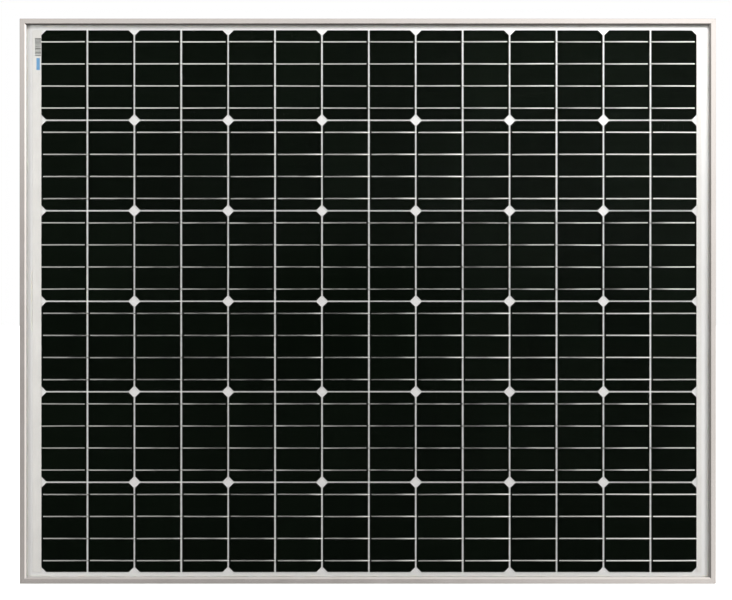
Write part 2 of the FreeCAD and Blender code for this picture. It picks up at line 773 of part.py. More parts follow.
def diode_lead(z_body, z_foot):
    """A wire from the diode's end out over the terminal, then down to its face."""
    y = diode_axis_depth()
    way = 1 if z_foot > z_body else -1
    radius = DIODE_WIRE_RADIUS
    along = Part.makeCylinder(radius, abs(z_foot - z_body), V(DIODE_X, y, z_body), Z_AXIS * way)
    elbow = Part.makeSphere(radius, V(DIODE_X, y, z_foot))
    down = Part.makeCylinder(radius, y - TERMINAL_FACE, V(DIODE_X, TERMINAL_FACE, z_foot), Y_AXIS)
    return fused([along, elbow, down])


def diode_leads():
    wires = []
    for z in diode_middles():
        for way in (-1, 1):
            wires.append(diode_lead(z + way * DIODE_LENGTH / 2, z + way * (DIODE_LENGTH / 2 + 3.0)))
    return wires


# ---- cable glands ----
def gland_body(centre):
    collar = hexagon(GLAND_COLLAR_FLATS, centre, GLAND_COLLAR)
    tube = cylinder_down(GLAND_THREAD_RADIUS, centre, -BOX_WALL, GLAND_THREAD_END)
    bore = cylinder_down(GLAND_BORE_RADIUS, centre, -BOX_WALL - 1, GLAND_THREAD_END + 1)
    mouth = cylinder_down(SEAL_OUTER_RADIUS, centre, SEAL_START, GLAND_THREAD_END + 1)
    return fused([collar, tube]).cut([bore, mouth])


def gland_seal(centre):
    sleeve = cylinder_down(SEAL_OUTER_RADIUS, centre, SEAL_START, SEAL_END)
    return sleeve.cut(cylinder_down(CABLE_RADIUS, centre, SEAL_START - 1, SEAL_END + 1))


def gland_claw(centre):
    """A split ring that the nut carries along and squeezes around the cable."""
    ring = cylinder_down(CLAW_RADIUS, centre, CLAW_START, CLAW_END)
    ring = ring.cut(cylinder_down(GLAND_BORE_RADIUS, centre, CLAW_START - 1, CLAW_END + 1))
    slits = []
    for i in range(CLAW_SLITS):
        slit = plate(GLAND_BORE_RADIUS - 1, CLAW_RADIUS + 1, 0, 2.0, -0.4, 0.4)
        slit.rotate(ORIGIN, Z_AXIS, i * 360 / CLAW_SLITS)
        slit.translate(centre - V(0, 0, CLAW_START + 1.9))
        slits.append(slit)
    return ring.cut(slits)


def gland_nut(centre):
    """A domed nut: hexagon, then a cone down to the cable's mouth."""
    start = centre - V(0, 0, NUT_START)
    hex_length = NUT_HEX_END - NUT_START
    outside_radius = NUT_FLATS / 2
    hex_part = hexagon(NUT_FLATS, start, hex_length)
    rounding = cone_down(outside_radius * 1.06, outside_radius * 1.155, centre, NUT_START, NUT_START + 1.5)
    barrel = cylinder_down(outside_radius * 1.155, centre, NUT_START + 1.5, NUT_HEX_END)
    hex_part = hex_part.common(fused([rounding, barrel]))
    dome = cone_down(outside_radius - 0.2, outside_radius - 1.2, centre, NUT_HEX_END, NUT_END)
    thread = cylinder_down(NUT_BORE_RADIUS, centre, NUT_START - 1, NUT_HEX_END)
    seat = cylinder_down(CLAW_RADIUS + 0.3, centre, NUT_HEX_END, NUT_END - NUT_MOUTH_THICKNESS)
    mouth = cylinder_down(NUT_MOUTH_RADIUS, centre, NUT_HEX_END, NUT_END + 1)
    return fused([hex_part, dome]).cut([thread, seat, mouth])


def save_frame():
    bottom = bottom_rail()
    left = left_rail()
    save("frame_rail_bottom", bottom)
    save("frame_rail_top", bottom.mirror(ORIGIN, Z_AXIS))
    save("frame_rail_left", left)
    save("frame_rail_right", left.mirror(ORIGIN, X_AXIS))
    save("corner_keys", corner_keys())
    save("edge_seals", edge_seals())


def save_laminate():
    save("front_glass", laminate_sheet(GLASS_FRONT, GLASS_REAR))
    save("encapsulant_front", encapsulant_front())
    save("encapsulant_rear", encapsulant_rear())
    save("backsheet", backsheet())
    for row in range(ROWS):
        save("cell_string_%d" % (row + 1), cell_string(row))
        save("string_ribbons_%d" % (row + 1), string_ribbons(row))
    save("bus_ribbons_left", bus_ribbons_left())
    save("bus_ribbons_right", bus_ribbons_right())
    save("insulation_strips", insulation_strips())
    save("barcode_label", margin_label(BARCODE_SIZE, BARCODE_PLACE))
    save("mark_label", margin_label(MARK_SIZE, MARK_PLACE))
    rating_face = LAMINATE_REAR + RATING_THICKNESS
    save("rating_label", flat_label(RATING_SIZE, RATING_PLACE, LAMINATE_REAR, rating_face))


def save_junction_box():
    save("box_adhesive", box_adhesive())
    save("junction_box_base", junction_box_base())
    save("junction_box_lid", junction_box_lid())
    save("lid_gasket", lid_gasket())
    save("lid_hinge_pin", lid_hinge_pin())
    save("terminal_plates", terminal_plates())
    save("bypass_diodes", bypass_diodes())
    save("diode_leads", diode_leads())
    for side, centre in zip(("left", "right"), gland_centres()):
        save("gland_body_" + side, gland_body(centre))
        save("gland_seal_" + side, gland_seal(centre))
        save("gland_claw_" + side, gland_claw(centre))
        save("gland_nut_" + side, gland_nut(centre))


os.makedirs("parts", exist_ok=True)
save_frame()
save_laminate()
save_junction_box()
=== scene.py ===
# %% [markdown]
# # A framed solar panel
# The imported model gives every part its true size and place, in metres: the sun side faces -Y, +X is to the
# right and +Z is up. This lesson keeps that frame, and adds the surfaces and the small shapes that the eye
# looks for: dark wafers, thin tinned ribbons, silver frame, white rear sheet and a moulded junction box.

# %% Load the frame
import math
import random
import bmesh
import bpy
from mathutils import Matrix, Vector, noise


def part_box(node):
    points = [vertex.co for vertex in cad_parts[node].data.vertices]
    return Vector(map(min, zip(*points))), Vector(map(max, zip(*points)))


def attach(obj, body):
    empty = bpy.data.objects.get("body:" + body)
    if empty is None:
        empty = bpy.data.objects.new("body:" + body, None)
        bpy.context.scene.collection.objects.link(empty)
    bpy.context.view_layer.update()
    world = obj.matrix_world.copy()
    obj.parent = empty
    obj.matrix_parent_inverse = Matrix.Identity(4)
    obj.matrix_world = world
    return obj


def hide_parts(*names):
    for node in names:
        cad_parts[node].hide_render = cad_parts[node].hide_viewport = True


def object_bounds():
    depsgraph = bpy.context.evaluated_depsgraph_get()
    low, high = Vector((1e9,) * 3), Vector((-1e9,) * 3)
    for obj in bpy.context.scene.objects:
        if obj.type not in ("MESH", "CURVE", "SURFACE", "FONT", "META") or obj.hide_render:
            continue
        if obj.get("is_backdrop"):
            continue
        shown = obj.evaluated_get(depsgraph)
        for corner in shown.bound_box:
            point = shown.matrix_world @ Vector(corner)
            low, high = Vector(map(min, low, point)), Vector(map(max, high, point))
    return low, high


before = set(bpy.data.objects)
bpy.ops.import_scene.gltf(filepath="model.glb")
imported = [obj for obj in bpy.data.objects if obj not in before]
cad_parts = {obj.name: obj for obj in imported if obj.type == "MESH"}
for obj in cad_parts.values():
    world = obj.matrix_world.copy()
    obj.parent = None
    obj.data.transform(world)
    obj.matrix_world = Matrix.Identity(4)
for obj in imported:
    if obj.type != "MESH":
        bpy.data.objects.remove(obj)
CAD_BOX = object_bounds()
MM = 0.001
PANEL_LOW, PANEL_HIGH = Vector(CAD_BOX[0]), Vector(CAD_BOX[1])
print("panel measures", [round(side, 4) for side in PANEL_HIGH - PANEL_LOW], "m")

# %% [markdown]
# ## Where the viewer stands
# A catalogue picture of a flat panel is taken square on, from a few metres away with a long lens, so that the
# frame's sides hide behind its front and every row of cells stays parallel. An 85 mm lens does that here. The
# distance follows from how much of the picture's width the panel should fill.

# %% Camera
LENS_MM = 85.0
SENSOR_MM = 36.0
FILLED_WIDTH = 0.9514
CAMERA_OFFSET = Vector((-3.2, 0.0, 2.1)) * MM

panel_width = PANEL_HIGH.x - PANEL_LOW.x
distance = panel_width / FILLED_WIDTH * LENS_MM / SENSOR_MM
camera_data = bpy.data.cameras.new("viewer")
camera_data.lens = LENS_MM
camera_data.sensor_width = SENSOR_MM
camera_data.clip_end = 100.0
camera = bpy.data.objects.new("viewer", camera_data)
camera.location = Vector((0.0, PANEL_LOW.y - distance, 0.0)) + CAMERA_OFFSET
camera.rotation_euler = (math.radians(90.0), 0.0, 0.0)
bpy.context.scene.collection.objects.link(camera)
bpy.context.scene.camera = camera
bpy.context.scene.view_settings.view_transform = "Standard"
print("camera stands", round(distance, 3), "m in front of the glass")

# %% [markdown]
# ## One helper for nodes, one for colours
# Colours are picked as sRGB hex values, as on a paint card, and a shader wants linear light, so one function
# turns one into the other. Another adds a node, sets its values and links its inputs, so that a material
# reads from top to bottom in the order that its signals flow.


# %% Colour and node helpers
def linear(hex_colour):
    """An sRGB hex colour as linear red, green, blue and full alpha."""
    channels = [int(hex_colour[i : i + 2], 16) / 255 for i in (1, 3, 5)]
    return [c / 12.92 if c <= 0.04045 else ((c + 0.055) / 1.055) ** 2.4 for c in channels] + [1.0]


def add(tree, kind, settings=None, links=None):
    """A new node: settings are properties or unlinked inputs, links are inputs fed by other nodes."""
    node = tree.nodes.new(kind)
    for name, value in (settings or {}).items():
        if isinstance(name, int) or name in node.inputs:
            node.inputs[name].default_value = value
        else:
            setattr(node, name, value)
    for name, output in (links or {}).items():
        tree.links.new(output, node.inputs[name])
    return node


print("black reads as", linear("#000000"), "and mid grey as", [round(c, 3) for c in linear("#808080")])

# %% [markdown]
# ## A light tent with a dark hole
# Glass, anodised metal and tinned ribbons show what stands in front of them. In a light tent that is a bright
# wall with a darker patch around the camera. The world here is that tent: a plain white backdrop to the eye,
# and for light and reflections a wall that is dark straight ahead and towards the lower left, and bright
# towards the upper right. That makes the left and lower bevels of the frame glow while the right and upper
# ones stay dark, and lets the wafers stay nearly black behind their glass.

# %% World
HOLE_DIRECTION = Vector((-0.03, -1.0, -0.03)).normalized()
HOLE_EDGE_DEGREES = 11.5
HOLE_CORE_DEGREES = 2.0
HOLE_LIGHT = 0.07
FRONT_STRENGTH = 2.05
LEFT_TO_RIGHT = [
    (-1.0, 0.35),
    (-0.72, 0.10),
    (-0.25, 0.50),
    (0.0, 0.61),
    (0.2, 0.90),
    (0.72, 1.0),
    (1.0, 0.30),
]
LOW_TO_HIGH = [(-0.65, 0.02), (-0.24, 0.58), (0.0, 0.52), (0.16, 1.0), (0.5, 0.7), (1.0, 0.5)]

world = bpy.data.worlds.new("light_tent")
bpy.context.scene.world = world
world.use_nodes = True
tent = world.node_tree
tent.nodes.clear()
towards = add(tent, "ShaderNodeTexCoord").outputs["Generated"]
sides = add(tent, "ShaderNodeSeparateXYZ", links={"Vector": towards})


def wall_profile(axis, points):
    """Brightness along one axis of the direction, through (direction, brightness) points."""
    spread = add(
        tent, "ShaderNodeMapRange", {"From Min": -1.0, "From Max": 1.0}, {"Value": sides.outputs[axis]}
    )
    ramp = add(tent, "ShaderNodeValToRGB", links={"Fac": spread.outputs["Result"]})
    ramp.color_ramp.interpolation = "EASE"
    stops = ramp.color_ramp.elements
    while len(stops) < len(points):
        stops.new(0.5)
    for stop, (direction, brightness) in zip(stops, points):
        stop.position = (direction + 1) / 2
        stop.color = (brightness, brightness, brightness, 1.0)
    return ramp.outputs["Color"]


across = wall_profile("X", LEFT_TO_RIGHT)
upward = wall_profile("Z", LOW_TO_HIGH)
front = add(tent, "ShaderNodeVectorMath", {"operation": "MULTIPLY"}, {0: across, 1: upward})
front_wall = add(
    tent,
    "ShaderNodeVectorMath",
    {"operation": "SCALE", "Scale": FRONT_STRENGTH},
    {0: front.outputs[0]},
)
facing = add(tent, "ShaderNodeVectorMath", {"operation": "DOT_PRODUCT", 1: HOLE_DIRECTION}, {0: towards})
hole = add(
    tent,
    "ShaderNodeMapRange",
    {
        "interpolation_type": "SMOOTHSTEP",
        "From Min": math.cos(math.radians(HOLE_EDGE_DEGREES)),
        "From Max": math.cos(math.radians(HOLE_CORE_DEGREES)),
        "To Min": 1.0,
        "To Max": HOLE_LIGHT,
    },
    {"Value": facing.outputs["Value"]},
)
holed = add(
    tent,
    "ShaderNodeVectorMath",
    {"operation": "SCALE"},
    {0: front_wall.outputs[0], "Scale": hole.outputs["Result"]},
)
seen = add(tent, "ShaderNodeLightPath").outputs["Is Camera Ray"]
light = add(tent, "ShaderNodeBackground", {"Strength": 1.0}, {"Color": holed.outputs[0]})
backdrop = add(tent, "ShaderNodeBackground", {"Color": linear("#FFFFFF"), "Strength": 1.0})
tent_mix = add(
    tent, "ShaderNodeMixShader", links={0: seen, 1: light.outputs[0], 2: backdrop.outputs[0]}
)
add(tent, "ShaderNodeOutputWorld", links={"Surface": tent_mix.outputs[0]})
print("the dark hole is", 2 * HOLE_EDGE_DEGREES, "degrees wide and keeps", HOLE_LIGHT, "of the wall's light")

# %% [markdown]
# ## Five soft lamps and a pale floor
# One large soft lamp stands up on the right. Four narrow ones stand off the four sides of the panel, so that
# its middle gets the least light. They light only matt surfaces: anything mirror-like sees the tent instead.
# The panel stands on a plain floor that is white to the eye. Mirrors don't see that floor and matt surfaces
# get no light from it, because the upper bevel of the frame and the middle of the sheet would light up.

# %% Lamps and floor
LAMP_COLOUR = (0.97, 0.985, 1.0)
# each lamp: name, width and height in metres, watts, place, the point that it faces
LAMPS = (
    ("upper_right_lamp", (0.5, 0.5), 6.9, (0.7, -0.6, 0.8), (0.4, 0.0, 0.4)),
    ("left_strip_lamp", (0.12, 1.1), 2.2, (-0.9, -0.32, -0.05), (-0.4, 0.0, -0.1)),
    ("right_strip_lamp", (0.12, 0.6), 1.1, (0.88, -0.3, -0.35), (0.4, 0.0, -0.35)),
    ("upper_strip_lamp", (1.1, 0.12), 2.0, (0.0, -0.34, 0.75), (0.0, 0.0, 0.35)),
    ("lower_strip_lamp", (1.2, 0.12), 0.7, (0.0, -0.2, -0.75), (0.0, 0.0, -0.25)),
)

for name, (width, height), watts, place, target in LAMPS:
    lamp_data = bpy.data.lights.new(name, "AREA")
    lamp_data.shape = "RECTANGLE"
    lamp_data.size, lamp_data.size_y = width, height
    lamp_data.energy = watts
    lamp_data.color = LAMP_COLOUR
    lamp = bpy.data.objects.new(name, lamp_data)
    lamp.location = place
    lamp.rotation_euler = (Vector(target) - Vector(place)).to_track_quat("-Z", "Y").to_euler()
    lamp.visible_glossy = False
    lamp.visible_camera = False
    bpy.context.scene.collection.objects.link(lamp)

FLOOR_SIDE = 60.0
FLOOR_GLOW = 0.8
floor_material = bpy.data.materials.new("pale_floor")
floor_material.use_nodes = True
floor_tree = floor_material.node_tree
floor_shader = floor_tree.nodes["Principled BSDF"]
floor_shader.inputs["Base Color"].default_value = linear("#F6F6F5")
floor_shader.inputs["Roughness"].default_value = 0.9
floor_shader.inputs["Specular IOR Level"].default_value = 0.0
floor_shader.inputs["Emission Color"].default_value = linear("#FFFFFF")
floor_shader.inputs["Emission Strength"].default_value = FLOOR_GLOW

floor_mesh = bpy.data.meshes.new("pale_floor")
floor_form = bmesh.new()
bmesh.ops.create_grid(floor_form, x_segments=1, y_segments=1, size=FLOOR_SIDE / 2)
bmesh.ops.translate(floor_form, verts=floor_form.verts, vec=(0.0, 0.0, PANEL_LOW.z))
floor_form.to_mesh(floor_mesh)
floor_form.free()
pale_floor = bpy.data.objects.new("pale_floor", floor_mesh)
floor_mesh.materials.append(floor_material)
pale_floor.visible_glossy = False
pale_floor.visible_diffuse = False
bpy.context.scene.collection.objects.link(pale_floor)
pale_floor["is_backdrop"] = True
print(len(LAMPS), "lamps are set up, and the floor lies at", round(PANEL_LOW.z, 3), "m")

# %% [markdown]
# ## Making a piece
# Each new piece is shaped in a bmesh at its real place. One helper turns that into an object, gives it its
# material and shades it smooth where faces meet gently. Another rounds a box's edges, because a real edge is
# never perfectly sharp and its narrow highlight tells the eye how large the thing is.


# %% Piece helpers
def finish_piece(form, name, material, body="panel", stands_for=(), sharp_degrees=35.0):
    """Turns a bmesh into an object that rides on a body, and hides the imported parts that it stands for."""
    mesh = bpy.data.meshes.new(name)
    form.to_mesh(mesh)
    form.free()
    mesh.materials.append(material)
    mesh.shade_smooth()
    mesh.set_sharp_from_angle(angle=math.radians(sharp_degrees))
    piece = bpy.data.objects.new(name, mesh)
    bpy.context.scene.collection.objects.link(piece)
    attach(piece, body)
    if stands_for:
        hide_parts(*stands_for)
    return piece


def add_block(form, low, high, rounding=0.0, segments=2):
    """A box between two corners, with its edges rounded."""
    low, high = Vector(low), Vector(high)
    made = bmesh.ops.create_cube(form, size=1.0)["verts"]
    size = high - low
    bmesh.ops.scale(form, verts=made, vec=size)
    bmesh.ops.translate(form, verts=made, vec=(low + high) / 2)
    if rounding > 0:
        edges = {edge for vert in made for edge in vert.link_edges}
        bmesh.ops.bevel(
            form,
            geom=list(edges),
            offset=rounding,
            segments=segments,
            profile=0.5,
            affect="EDGES",
            material=-1,
            clamp_overlap=True,
        )


def softened_copy(node, rounding, sharp=30.0):
    """A bmesh of a CAD node with its flat faces joined up and its sharp edges rounded."""
    form = bmesh.new()
    form.from_mesh(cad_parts[node].data)
    bmesh.ops.remove_doubles(form, verts=form.verts, dist=0.002 * MM)
    bmesh.ops.dissolve_limit(
        form, angle_limit=math.radians(0.5), use_dissolve_boundaries=False, verts=form.verts, edges=form.edges
    )
    edges = [e for e in form.edges if e.is_manifold and e.calc_face_angle(0.0) > math.radians(sharp)]
    bmesh.ops.bevel(
        form,
        geom=edges,
        offset=rounding,
        segments=2,
        profile=0.5,
        affect="EDGES",
        material=-1,
        clamp_overlap=True,
    )
    bmesh.ops.recalc_face_normals(form, faces=form.faces)
    return form


def clothe(node, material):
    """A CAD node whose shape is right keeps it, and gets its finish here."""
    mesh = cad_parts[node].data
    mesh.materials.clear()
    mesh.materials.append(material)
    mesh.shade_smooth()
    mesh.set_sharp_from_angle(angle=math.radians(20.0))


# %% [markdown]
# ## Grain
# Most of the finishes here are one base colour that drifts a little, over a surface with fine grain. The
# size of each grain is its real size in millimetres, and a stretch makes it long in one direction, as in
# metal that was pushed through a die.


# %% Grain helpers
def start_material(name, values):
    """A material with one shader, whose even values are set on the shader itself."""
    material = bpy.data.materials.new(name)
    material.use_nodes = True
    tree = material.node_tree
    shader = tree.nodes["Principled BSDF"]
    for socket, value in values.items():
        shader.inputs[socket].default_value = value
    return material, tree, shader


def grain(tree, size_mm, stretch=(1.0, 1.0, 1.0), detail=3.0):
    """Noise whose blotches are about size_mm across, longer along the axes with a stretch above 1."""
    place = add(tree, "ShaderNodeTexCoord").outputs["Object"]
    scale = [1000.0 / (size_mm * s) for s in stretch]
    spread = add(tree, "ShaderNodeMapping", {"Scale": scale}, {"Vector": place})
    return add(
        tree, "ShaderNodeTexNoise", {"Scale": 1.0, "Detail": detail}, {"Vector": spread.outputs[0]}
    ).outputs["Fac"]


def tint(tree, shader, signal, low_hex, high_hex, low=0.35, high=0.65):
    """Base colour that runs from one hex value to another as the signal rises."""
    ramp = add(tree, "ShaderNodeValToRGB", links={"Fac": signal})
    ramp.color_ramp.elements[0].position = low
    ramp.color_ramp.elements[1].position = high
    ramp.color_ramp.elements[0].color = linear(low_hex)
    ramp.color_ramp.elements[1].color = linear(high_hex)
    tree.links.new(ramp.outputs["Color"], shader.inputs["Base Color"])


def vary(tree, shader, socket, signal, low, high):
    """A shader value that runs from low to high over the middle of the signal."""
    spread = add(
        tree,
        "ShaderNodeMapRange",
        {"From Min": 0.3, "From Max": 0.7, "To Min": low, "To Max": high},
        {"Value": signal},
    )
    tree.links.new(spread.outputs["Result"], shader.inputs[socket])


def emboss(tree, shader, signal, height_mm, strength=1.0):
    """Relief of that height, pressed into the surface."""
    bump = add(
        tree,
        "ShaderNodeBump",
        {"Strength": strength, "Distance": height_mm * MM},
        {"Height": signal},
    )
    tree.links.new(bump.outputs["Normal"], shader.inputs["Normal"])


# %% [markdown]
# ## Anodised aluminium
# The rails are extruded, etched in caustic until they are silk-matt, then anodised clear. The eye reads that
# as a soft silver with faint die lines along the rail and no sharp mirror image. Real die lines are a tenth
# of a millimetre apart, which no picture of the whole panel could show, so they are drawn 1.2 mm wide.


# %% Anodised aluminium
def anodised_aluminium(name, along):
    """Silk-matt anodised metal, with die lines drawn long in one direction."""
    material, tree, shader = start_material(name, {"Metallic": 1.0, "Roughness": 0.25})
    die_lines = grain(tree, 1.2, along, detail=2.0)
    etching = grain(tree, 45.0, detail=4.0)
    tint(tree, shader, etching, "#DBD4CE", "#DFD8D3")
    vary(tree, shader, "Roughness", etching, 0.23, 0.27)
    emboss(tree, shader, die_lines, 0.012)
    return material


METAL_ACROSS = anodised_aluminium("anodised_aluminium_across", (160.0, 1.0, 1.0))
METAL_UP = anodised_aluminium("anodised_aluminium_up", (1.0, 1.0, 160.0))
clothe("frame_rail_top", METAL_ACROSS)
clothe("frame_rail_bottom", METAL_ACROSS)
clothe("frame_rail_left", METAL_UP)
clothe("frame_rail_right", METAL_UP)
clothe("corner_keys", METAL_ACROSS)
print("rails in silver:", [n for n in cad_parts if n.startswith("frame_rail")])

# %% [markdown]
# ## White rear sheet, film and silicone
# The rear sheet is a laminated polymer film, white and matt, which shows around and between the cells. The
# strips over the cross connections are coloured a little greyer than the sheet: that is painted shade, for
# the dimmer light in the margins beside the black cells. The sealant is a white silicone, soft-looking and a
# touch yellower.

# %% White materials
BACKSHEET, sheet_tree, sheet_shader = start_material(
    "white_backsheet_film", {"Roughness": 0.62, "IOR": 1.45}
)
tint(sheet_tree, sheet_shader, grain(sheet_tree, 90.0), "#DDDBDC", "#E0DEDF")
emboss(sheet_tree, sheet_shader, grain(sheet_tree, 1.6), 0.02)

# painted shade: the strip film is coloured darker than the rear sheet, and stands in for the dimmer light in
# the margins beside the cells
INSULATION_PAINTED_SHADE, strip_tree, strip_shader = start_material(
    "insulation_film_painted_shade", {"Roughness": 0.55, "IOR": 1.5}
)
tint(strip_tree, strip_shader, grain(strip_tree, 30.0), "#D2CFCD", "#D8D5D3")
emboss(strip_tree, strip_shader, grain(strip_tree, 1.4), 0.015)

SILICONE, silicone_tree, silicone_shader = start_material(
    "white_silicone", {"Roughness": 0.45, "IOR": 1.41, "Subsurface Weight": 0.1, "Subsurface Scale": 1.0 * MM}
)
tint(silicone_tree, silicone_shader, grain(silicone_tree, 18.0), "#D9D7CF", "#E6E4DD")
emboss(silicone_tree, silicone_shader, grain(silicone_tree, 3.5), 0.12)

clothe("backsheet", BACKSHEET)
clothe("insulation_strips", INSULATION_PAINTED_SHADE)
print("white materials:", BACKSHEET.name, INSULATION_PAINTED_SHADE.name, SILICONE.name)

# %% [markdown]
# ## Silicon wafers
# A textured wafer swallows nearly all light: seen square on it is a near-black with a breath of green from
# its anti-reflection coating. Silver fingers, a twentieth of a millimetre wide and 1.6 mm apart, run up each
# cell. They are too fine to see one by one, so here they only lift the black a little in soft upright bands,
# drawn at twice the real spacing. Every half cell gets a slightly different depth of black through an
# attribute, because cells are sorted by strength and not by shade.

# %% Wafer material
FINGER_PITCH_MM = 1.6
# coarser than real: one drawn band stands for this many fingers
FINGERS_DRAWN = 2.0
drawn_pitch_mm = FINGER_PITCH_MM * FINGERS_DRAWN

WAFER, wafer_tree, wafer_shader = start_material(
    "textured_silicon_wafer", {"Roughness": 0.5, "IOR": 1.45, "Specular IOR Level": 0.0}
)
wafer_place = add(wafer_tree, "ShaderNodeTexCoord").outputs["Object"]
# the band texture repeats every pi / 10 over its scale, in metres
finger_scale = 1000.0 / drawn_pitch_mm * math.pi / 10
fingers = add(
    wafer_tree,
    "ShaderNodeTexWave",
    {"wave_type": "BANDS", "bands_direction": "X", "Scale": finger_scale, "Distortion": 0.0},
    {"Vector": wafer_place},
).outputs["Fac"]
depth = add(wafer_tree, "ShaderNodeAttribute", {"attribute_name": "depth_of_black"}).outputs["Fac"]
clouds = grain(wafer_tree, 70.0, (0.35, 1.0, 3.0), detail=2.0)
finger_lift = add(wafer_tree, "ShaderNodeMath", {"operation": "MULTIPLY", 1: 0.25}, {0: fingers})
cloud_lift = add(
    wafer_tree,
    "ShaderNodeMath",
    {"operation": "MULTIPLY_ADD", 1: 0.45},
    {0: clouds, 2: finger_lift.outputs[0]},
)
wafer_tone = add(wafer_tree, "ShaderNodeMath", {"operation": "ADD"}, {0: cloud_lift.outputs[0], 1: depth})
tint(wafer_tree, wafer_shader, wafer_tone.outputs[0], "#050805", "#0C130C", 0.2, 1.0)
emboss(wafer_tree, wafer_shader, fingers, 0.012, strength=0.5)
print("finger bands are drawn", drawn_pitch_mm, "mm apart, where real fingers stand", FINGER_PITCH_MM)

# %% [markdown]
# ## Tinned copper ribbon
# The ribbons are copper dipped in solder, so they are satin silver with a slightly uneven skin. Each length
# was soldered by hand or by a head that pressed it here and there, and so some lengths look bright and others
# dull. An attribute holds that difference for each length.

# %% Ribbon material
RIBBON, ribbon_tree, ribbon_shader = start_material(
    "tinned_copper_ribbon", {"Metallic": 1.0, "Roughness": 0.3}
)
ribbon_tone = add(ribbon_tree, "ShaderNodeAttribute", {"attribute_name": "solder_tone"}).outputs["Fac"]
ribbon_skin = grain(ribbon_tree, 4.0, (6.0, 1.0, 1.0))
ribbon_signal = add(
    ribbon_tree, "ShaderNodeMath", {"operation": "MULTIPLY_ADD", 1: 0.3}, {0: ribbon_skin, 2: ribbon_tone}
)
tint(ribbon_tree, ribbon_shader, ribbon_signal.outputs[0], "#8F8F8C", "#F1F1EF", 0.1, 1.0)
vary(ribbon_tree, ribbon_shader, "Roughness", ribbon_skin, 0.14, 0.22)
emboss(ribbon_tree, ribbon_shader, ribbon_skin, 0.02)

TINNED, tinned_tree, tinned_shader = start_material(
    "tinned_copper_strip", {"Metallic": 1.0, "Roughness": 0.32}
)
tint(tinned_tree, tinned_shader, grain(tinned_tree, 5.0), "#B4B4B1", "#CFCFCC")
emboss(tinned_tree, tinned_shader, grain(tinned_tree, 1.5), 0.02)
clothe("bus_ribbons_left", TINNED)
clothe("bus_ribbons_right", TINNED)
clothe("diode_leads", TINNED)
print("tinned materials:", RIBBON.name, TINNED.name)

# %% [markdown]
# ## Solar glass
# The cover is low-iron glass with a fine rolled texture and an anti-reflection coating, so it mirrors about
# one percent of what stands in front of it instead of four, and blurs it. A clear shader lets light straight
# through, and a share set by Fresnel's law for a low index is mirrored. That index is set lower than a real
# coating's, so that the wafers stay as dark as they look. Only the outer face mirrors, because the light
# isn't bent on its way in and would otherwise be trapped at a raking angle. The clear film behind the glass
# melts into it when the panel is pressed, so the one piece stands for the glass and both films.

# %% Glass
COATED_INDEX = 1.09

GLASS = bpy.data.materials.new("coated_solar_glass")
GLASS.use_nodes = True
glass_tree = GLASS.node_tree
glass_tree.nodes.clear()
fresnel = add(glass_tree, "ShaderNodeFresnel", {"IOR": COATED_INDEX}).outputs[0]
from_inside = add(glass_tree, "ShaderNodeNewGeometry").outputs["Backfacing"]
from_outside = add(
    glass_tree, "ShaderNodeMath", {"operation": "SUBTRACT", 0: 1.0}, {1: from_inside}
).outputs[0]
mirror_share = add(
    glass_tree, "ShaderNodeMath", {"operation": "MULTIPLY"}, {0: fresnel, 1: from_outside}
).outputs[0]
clear = add(glass_tree, "ShaderNodeBsdfTransparent", {"Color": linear("#FEFEFD")})
rolled = grain(glass_tree, 2.2, detail=2.0)
relief = add(glass_tree, "ShaderNodeBump", {"Strength": 0.2, "Distance": 0.01 * MM}, {"Height": rolled})
mirror = add(
    glass_tree,
    "ShaderNodeBsdfPrincipled",
    {"Base Color": linear("#FFFFFF"), "Metallic": 1.0, "Roughness": 0.12},
    {"Normal": relief.outputs[0]},
)
glass_mix = add(
    glass_tree, "ShaderNodeMixShader", links={0: mirror_share, 1: clear.outputs[0], 2: mirror.outputs[0]}
)
add(glass_tree, "ShaderNodeOutputMaterial", links={"Surface": glass_mix.outputs[0]})

glass_low, glass_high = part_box("front_glass")
glass_form = bmesh.new()
add_block(glass_form, glass_low, glass_high, rounding=0.4 * MM)
finish_piece(
    glass_form,
    "cover_glass",
    GLASS,
    stands_for=("front_glass", "encapsulant_front", "encapsulant_rear"),
)
straight_share = ((COATED_INDEX - 1) / (COATED_INDEX + 1)) ** 2
print("glass is", round((glass_high - glass_low).y / MM, 2), "mm thick")
print("it mirrors", round(100 * straight_share, 2), "percent of the light straight on")

# %% [markdown]
# ## Half cells
# A round-cornered wafer is cut in two after it is made, so each half keeps two clipped corners, on the side
# away from the cut. Where four cells meet, the clipped corners leave the white diamond that the eye finds
# first. Each half is a flat quad whose two outer corners are bevelled off, pulled out to its thickness. The
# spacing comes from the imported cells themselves: their nodes give the height, the ends and the thickness.

# %% Half cells
ROWS = 6
HALVES = 14
CLIPPED_CORNER = 8.5 * MM
CUT_GAP = 3.1 * MM
COLUMN_GAP = 2.9 * MM
random.seed(11)

row_boxes = [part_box("cell_string_%d" % (row + 1)) for row in range(ROWS)]
field_left, field_right = row_boxes[0][0].x, row_boxes[0][1].x
pair_pitch = (field_right - field_left + COLUMN_GAP) / (HALVES / 2)
half_width = (pair_pitch - CUT_GAP - COLUMN_GAP) / 2


def half_cell_left(index):
    """The left edge of a half cell in its row."""
    pair, second = divmod(index, 2)
    return field_left + pair * pair_pitch + second * (half_width + CUT_GAP)


